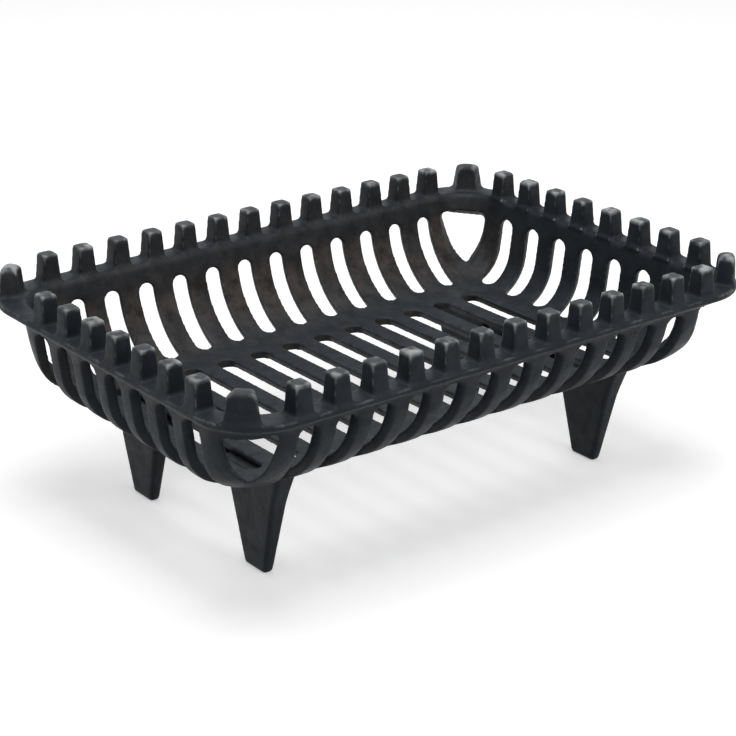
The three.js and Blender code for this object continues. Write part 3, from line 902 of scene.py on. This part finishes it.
# %% [markdown]
# ## The legs
# Blade and lug are cast in one like the basket.  A dish that is a hair larger than the real
# one is taken from the top, so leg and basket meet with an even, thin gap.  The other three
# legs are mirror images, and a mirror image needs its faces turned round.

# %% Legs
dish_with_gap = extruded_through("dish_with_gap", outer_rings(SEAT_GAP))
leg = join_all([leg, lug])
cast_skin(leg, LEG_VOXEL, LEG_FACES)
apply_modifier(leg, "BOOLEAN", operation="DIFFERENCE", solver="EXACT", object=dish_with_gap)
discard(dish_with_gap)
bore = upright_bar("bore", BORE_RADIUS, LUG_TOP - LUG_THICK - CUT_MARGIN, BOSS_FOOT)
apply_modifier(leg, "BOOLEAN", operation="DIFFERENCE", solver="EXACT", object=bore)
discard(bore)
only(leg)
bpy.ops.object.shade_smooth_by_angle(angle=SHARP_ANGLE)

legs = {}
for corner, (sx, sy) in CORNERS.items():
    legs[corner] = copy_of(leg, "cast_leg_" + corner)
    seat(legs[corner], lambda p: (sx * p.x, sy * p.y, p.z))
    if sx * sy < 0:
        edit_all(legs[corner])
        bpy.ops.mesh.flip_normals()
        leave_edit()
discard(leg)
print("leg:", sum(len(f.vertices) - 2 for f in legs["front_left"].data.polygons), "triangles")

# %% [markdown]
# ## Into the frame
# The screws and washers stay the CAD's own.

# %% Hand the castings to the frame
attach(basket, "root")
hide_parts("basket")
for corner, piece in legs.items():
    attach(piece, "root")
    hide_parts("leg_" + corner)
print("castings:", 1 + len(legs))

# %% [markdown]
# ## Helpers for materials
# A material is a small graph.  One helper adds a node with its settings and links, and
# another turns the hex colours, which are sRGB, into the linear values that shaders use.

# %% Helpers for materials
# The colour mix node has sockets for every kind of value, so these go by number.
MIX_SHARE, MIX_UNDER, MIX_OVER, MIX_COLOUR = 0, 6, 7, 2


def linear(hex_colour):
    channels = [int(hex_colour[i:i + 2], 16) / 255 for i in (1, 3, 5)]
    return tuple(
        c / 12.92 if c <= 0.04045 else ((c + 0.055) / 1.055) ** 2.4 for c in channels
    ) + (1.0,)


def add_node(tree, kind, links=None, inputs=None, **settings):
    node = tree.nodes.new(kind)
    for name, value in settings.items():
        setattr(node, name, value)
    for name, value in (inputs or {}).items():
        node.inputs[name].default_value = value
    for name, socket in (links or {}).items():
        tree.links.new(socket, node.inputs[name])
    return node


def new_material(name):
    material = bpy.data.materials.new(name)
    material.use_nodes = True
    material.node_tree.nodes.clear()
    return material


# %% [markdown]
# ## Sand-cast iron with a black stove finish
# The grate is poured in sand, fettled and dipped in a thin black finish.  The sand leaves a
# grain of about half a millimetre, drawn a little coarser here so that it shows.  The finish
# pools and thins over a centimetre or two, which shows in its tone and its gloss.  The inner
# face of the rear wall gets a warm, paler coat, more of it low down: a rust tint, and painted
# light where that face is lit.  The rest is cooler.  High edges get a pale grey, partly rubbed
# wear and partly a painted highlight, and some tooth heads get the same grey as a painted
# reflection of the sky.  A photograph of iron could be wrapped round the part, but noise in
# real millimetres has no seams and works on every piece.

# %% Colours and masks of the iron
IRON_COOL_DARK = "#1d2227"
IRON_COOL_PALE = "#2b3137"
# The warm pair: a rust tint on the inside of the rear wall, whose pale end also paints the
# light on that face.
IRON_WARM_DARK = "#262422"
IRON_WARM_PALE = "#544c47"
# Pale grey for high edges, partly rubbed wear and partly a painted highlight, and for some
# tooth heads, where it is a painted reflection of the sky.
IRON_WEAR_AND_HIGHLIGHT = "#a6a9a9"
IRON_GLOSS = 0.14             # low, so that the black stays black beside a white studio
# A face looks inwards where its normal points back to the middle, above all along Y.
INWARD_WEIGHTS = (-1.0, -7.0, 0.0)
NOISE_ROUGHNESS = 0.64
IRON_NOISES = {
    # name: (size in mm, detail)
    "grain": (1.1, 2.0),
    "peel": (5.0, 2.0),
    "mottle": (11.0, 5.0),
    "bloom": (26.0, 3.0),
}
# Each mask stretches the range low..high of a value to another range.
IRON_MASKS = {
    # name: (value, low, high, to low, to high)
    "tone": ("mottle", 0.32, 0.68, 0.0, 1.0),
    "roughness": ("mottle", 0.3, 0.7, 0.58, 0.4),
    "looks_inwards": ("inward", 0.0, 0.7, 0.0, 1.0),
    # The next four gate the warm coat on the inside of the rear wall, low down: a rust tint
    # and painted light.
    "below_band": ("height", 0.130, 0.112, 0.35, 1.0),
    "far_wall": ("rear", 0.055, 0.085, 0.0, 1.0),
    "patches": ("bloom", 0.35, 0.6, 0.45, 1.0),
    # The next four gate the pale edges, partly rubbed wear and partly a painted highlight, on
    # upper edges that don't face down.
    "edge": ("pointiness", 0.525, 0.56, 0.0, 0.9),
    "higher_up": ("height", 0.110, 0.135, 0.2, 1.0),
    "not_below": ("upward", -0.25, 0.1, 0.0, 1.0),
    "edge_patches": ("mottle", 0.4, 0.6, 0.3, 1.0),
    # The next two gate a painted reflection of the sky on the heads of some teeth.
    "tooth_head": ("height", 0.1545, 0.157, 0.0, 1.0),
    "head_reflection_patches": ("bloom", 0.5, 0.6, 0.08, 0.95),
}
# Masks that are multiplied with each other: a warm coat on the inside of the rear wall, which
# is a rust tint and painted light; pale edges, which are partly rubbed wear and partly a
# painted highlight; and a painted reflection of the sky on some tooth heads.
IRON_SHARES = {
    "rear_rust_and_light": ("looks_inwards", "below_band", "far_wall", "patches"),
    "rubbed_and_highlit": ("edge", "higher_up", "not_below", "edge_patches"),
    "tooth_head_reflection": ("tooth_head", "head_reflection_patches"),
}
IRON_COATS = (
    # (mask, colour under it, colour over it, name of the result)
    ("tone", IRON_COOL_DARK, IRON_COOL_PALE, "cool"),
    ("tone", IRON_WARM_DARK, IRON_WARM_PALE, "warmed"),
    # The warm coat: a rust tint and painted light on the inside of the rear wall.
    ("rear_rust_and_light", "cool", "warmed", "clean"),
    # Pale edges: partly rubbed wear, partly a painted highlight.
    ("rubbed_and_highlit", "clean", IRON_WEAR_AND_HIGHLIGHT, "edged"),
    # A painted reflection of the sky on the heads of some teeth.
    ("tooth_head_reflection", "edged", IRON_WEAR_AND_HIGHLIGHT, "finished"),
)
IRON_BUMPS = (
    # (noise, strength, distance in mm)
    ("peel", 0.3, 0.5),
    ("grain", 0.4, 0.22),
)
print("iron:", len(IRON_MASKS), "masks for", len(IRON_COATS), "coats")

# %% [markdown]
# ## Values and masks
# The tables above become nodes in steps.  First come the values: where a point lies, which
# way it faces, how sharp the edge is there, and the noises.  Each mask is one value,
# stretched, and some masks are multiplied with each other.

# %% Values and masks of the iron


def iron_values(tree):
    place = add_node(tree, "ShaderNodeTexCoord").outputs["Object"]
    form = add_node(tree, "ShaderNodeNewGeometry")
    position = add_node(tree, "ShaderNodeSeparateXYZ", links={"Vector": place})
    facing = add_node(
        tree, "ShaderNodeSeparateXYZ", links={"Vector": form.outputs["Normal"]})
    level = add_node(
        tree, "ShaderNodeVectorMath", operation="MULTIPLY",
        links={0: place}, inputs={1: INWARD_WEIGHTS})
    inward = add_node(
        tree, "ShaderNodeVectorMath", operation="DOT_PRODUCT",
        links={0: level.outputs["Vector"], 1: form.outputs["Normal"]})
    values = {
        "height": position.outputs["Z"],
        "rear": position.outputs["Y"],
        "upward": facing.outputs["Z"],
        "inward": inward.outputs["Value"],
        "pointiness": form.outputs["Pointiness"],
    }
    for label, (size_mm, detail) in IRON_NOISES.items():
        values[label] = add_node(
            tree, "ShaderNodeTexNoise", links={"Vector": place},
            inputs={
                "Scale": 1 / (size_mm * MM),
                "Detail": detail,
                "Roughness": NOISE_ROUGHNESS,
            },
        ).outputs["Fac"]
    return values


def iron_masks(tree, values):
    masks = {}
    for label, (value, low, high, to_low, to_high) in IRON_MASKS.items():
        masks[label] = add_node(
            tree, "ShaderNodeMapRange", links={"Value": values[value]},
            inputs={"From Min": low, "From Max": high, "To Min": to_low, "To Max": to_high},
        ).outputs["Result"]
    for label, factors in IRON_SHARES.items():
        share = masks[factors[0]]
        for factor in factors[1:]:
            share = add_node(
                tree, "ShaderNodeMath", operation="MULTIPLY", use_clamp=True,
                links={0: share, 1: masks[factor]}).outputs["Value"]
        masks[label] = share
    return masks


print("shares:", ", ".join(IRON_SHARES))

# %% [markdown]
# ## The iron itself
# The masks choose between the colours, coat over coat.  Two bumps, the soft swell of the
# finish and the grain of the sand, disturb the normal one after the other.  The casting and
# the CAD parts that it replaces get the same iron.

# %% Cast iron


def iron_colour(tree, masks):
    coats = {}
    for share, under, over, result in IRON_COATS:
        mix = {"links": {MIX_SHARE: masks[share]}, "inputs": {}}
        for socket, colour in ((MIX_UNDER, under), (MIX_OVER, over)):
            if colour in coats:
                mix["links"][socket] = coats[colour]
            else:
                mix["inputs"][socket] = linear(colour)
        coats[result] = add_node(
            tree, "ShaderNodeMix", data_type="RGBA", **mix).outputs[MIX_COLOUR]
    return coats["finished"]


def cast_iron(name):
    material = new_material(name)
    tree = material.node_tree
    values = iron_values(tree)
    masks = iron_masks(tree, values)
    shading = {"Base Color": iron_colour(tree, masks), "Roughness": masks["roughness"]}
    for noise, strength, distance_mm in IRON_BUMPS:
        links = {"Height": values[noise]}
        if "Normal" in shading:
            links["Normal"] = shading["Normal"]
        shading["Normal"] = add_node(
            tree, "ShaderNodeBump", links=links,
            inputs={"Strength": strength, "Distance": distance_mm * MM},
        ).outputs["Normal"]
    shader = add_node(
        tree, "ShaderNodeBsdfPrincipled", links=shading,
        inputs={"Metallic": 0.0, "Specular IOR Level": IRON_GLOSS})
    add_node(
        tree, "ShaderNodeOutputMaterial",
        links={"Surface": shader.outputs["BSDF"]},
    )
    return material


iron = cast_iron("sand_cast_iron_black_finish")
for piece in [basket, *legs.values(), *nodes.values()]:
    piece.data.materials.clear()
    piece.data.materials.append(iron)
print("cast iron on", len(nodes), "parts")

# %% [markdown]
# ## Blackened steel for the leg screws
# The screws and washers are steel without zinc, blackened in oil.  That leaves a dark,
# slightly brown metal with a satin gloss, so this is a metal and not a paint: metallic,
# darker than bare steel, with a fine grain.

# %% Blackened steel material
STEEL_DARK = "#2b2a29"
STEEL_PALE = "#4a4947"
STEEL_GRAIN_MM = 0.7
STEEL_DETAIL = 3.0
STEEL_ROUGHNESS = 0.42
STEEL_BUMP = 0.15
STEEL_BUMP_MM = 0.05


def blackened_steel(name):
    material = new_material(name)
    tree = material.node_tree
    place = add_node(tree, "ShaderNodeTexCoord")
    grain = add_node(
        tree, "ShaderNodeTexNoise", links={"Vector": place.outputs["Object"]},
        inputs={"Scale": 1 / (STEEL_GRAIN_MM * MM), "Detail": STEEL_DETAIL}).outputs["Fac"]
    colour = add_node(
        tree, "ShaderNodeMix", data_type="RGBA", links={MIX_SHARE: grain},
        inputs={MIX_UNDER: linear(STEEL_DARK), MIX_OVER: linear(STEEL_PALE)})
    bump = add_node(
        tree, "ShaderNodeBump", links={"Height": grain},
        inputs={"Strength": STEEL_BUMP, "Distance": STEEL_BUMP_MM * MM})
    shader = add_node(
        tree, "ShaderNodeBsdfPrincipled",
        links={
            "Base Color": colour.outputs[MIX_COLOUR],
            "Normal": bump.outputs["Normal"],
        },
        inputs={"Metallic": 1.0, "Roughness": STEEL_ROUGHNESS},
    )
    add_node(
        tree, "ShaderNodeOutputMaterial",
        links={"Surface": shader.outputs["BSDF"]},
    )
    return material


steel = blackened_steel("oil_blackened_steel")
fasteners = [
    node for name, node in nodes.items() if name.startswith(("leg_screw", "leg_washer"))]
for node in fasteners:
    node.data.materials.clear()
    node.data.materials.append(steel)
print("steel on", len(fasteners), "screws and washers")

# %% [markdown]
# ## Floor and backdrop
# The photograph is cut out on white.  White paper would throw much light up at the grate,
# and there the undersides are dark.  So the floor is white to the camera and to reflections
# but grey to other rays, and the world does the same.

# %% Floor and backdrop
FLOOR_SIZE = 12.0
PAPER_SEEN = "#f4f4f4"
PAPER_FELT = "#6e6e6e"
PAPER_GLOW = 0.4              # lifts the paper to white for the camera, shadow and all
SKY_SEEN = 1.0
SKY_FELT = 0.42


def seen_directly(tree):
    """1 for camera, glossy and transmission rays, 0 for the rest."""
    path = add_node(tree, "ShaderNodeLightPath")
    first = add_node(
        tree, "ShaderNodeMath", operation="MAXIMUM",
        links={0: path.outputs["Is Camera Ray"], 1: path.outputs["Is Glossy Ray"]})
    return add_node(
        tree, "ShaderNodeMath", operation="MAXIMUM",
        links={0: first.outputs["Value"], 1: path.outputs["Is Transmission Ray"]},
    ).outputs["Value"]


bpy.ops.object.select_all(action="DESELECT")
bpy.ops.mesh.primitive_plane_add(size=FLOOR_SIZE, location=(0.0, 0.0, 0.0))
floor = bpy.context.active_object
floor.name = "studio_floor"
floor_material = new_material("white_paper")
tree = floor_material.node_tree
seen = seen_directly(tree)
paper_colour = add_node(
    tree, "ShaderNodeMix", data_type="RGBA", links={MIX_SHARE: seen},
    inputs={MIX_UNDER: linear(PAPER_FELT), MIX_OVER: linear(PAPER_SEEN)})
paper = add_node(
    tree, "ShaderNodeBsdfDiffuse", links={"Color": paper_colour.outputs[MIX_COLOUR]})
glow_strength = add_node(
    tree, "ShaderNodeMath", operation="MULTIPLY", links={0: seen}, inputs={1: PAPER_GLOW})
glow = add_node(
    tree, "ShaderNodeEmission", links={"Strength": glow_strength.outputs["Value"]})
both = add_node(
    tree, "ShaderNodeAddShader", links={0: paper.outputs["BSDF"], 1: glow.outputs["Emission"]})
add_node(tree, "ShaderNodeOutputMaterial", links={"Surface": both.outputs["Shader"]})
floor.data.materials.append(floor_material)

world = bpy.data.worlds.new("white_studio")
bpy.context.scene.world = world
world.use_nodes = True
world.node_tree.nodes.clear()
tree = world.node_tree
sky_strength = add_node(
    tree, "ShaderNodeMapRange", links={"Value": seen_directly(tree)},
    inputs={"To Min": SKY_FELT, "To Max": SKY_SEEN})
sky = add_node(
    tree, "ShaderNodeBackground", links={"Strength": sky_strength.outputs["Result"]},
    inputs={"Color": (1.0, 1.0, 1.0, 1.0)})
add_node(tree, "ShaderNodeOutputWorld", links={"Surface": sky.outputs["Background"]})
print("floor", FLOOR_SIZE, "m wide, sky felt at", SKY_FELT)

# %% [markdown]
# ## Lamps
# A wide lamp overhead lights the tops of the teeth and the inside of the basket.  A small,
# weak one in front, to the right of the camera, models the bars of the long front wall.  The
# white of the background is the paper's and the sky's own, so the lamps can stay low.

# %% Lamps
LAMP_AIM = (0.0, 0.0, 0.1)
LAMPS = (
    # (name, place, diameter in metres, power in watts)
    ("overhead_lamp", (-0.1, -0.1, 2.2), 1.6, 25.0),
    ("front_lamp", (0.1, -2.0, 1.3), 0.7, 6.5),
)


def soft_lamp(name, position, size, power):
    data = bpy.data.lights.new(name, "AREA")
    data.shape = "DISK"
    data.size = size
    data.energy = power
    lamp = bpy.data.objects.new(name, data)
    bpy.context.scene.collection.objects.link(lamp)
    lamp.location = position
    aim = Vector(LAMP_AIM) - Vector(position)
    lamp.rotation_euler = aim.to_track_quat("-Z", "Y").to_euler()


for lamp in LAMPS:
    soft_lamp(*lamp)

bpy.context.scene.view_settings.view_transform = "Standard"
print(len(LAMPS), "lamps")

# %% [markdown]
# ## Finish
# The last cell updates the view layer.

# %% Finish
bpy.context.view_layer.update()
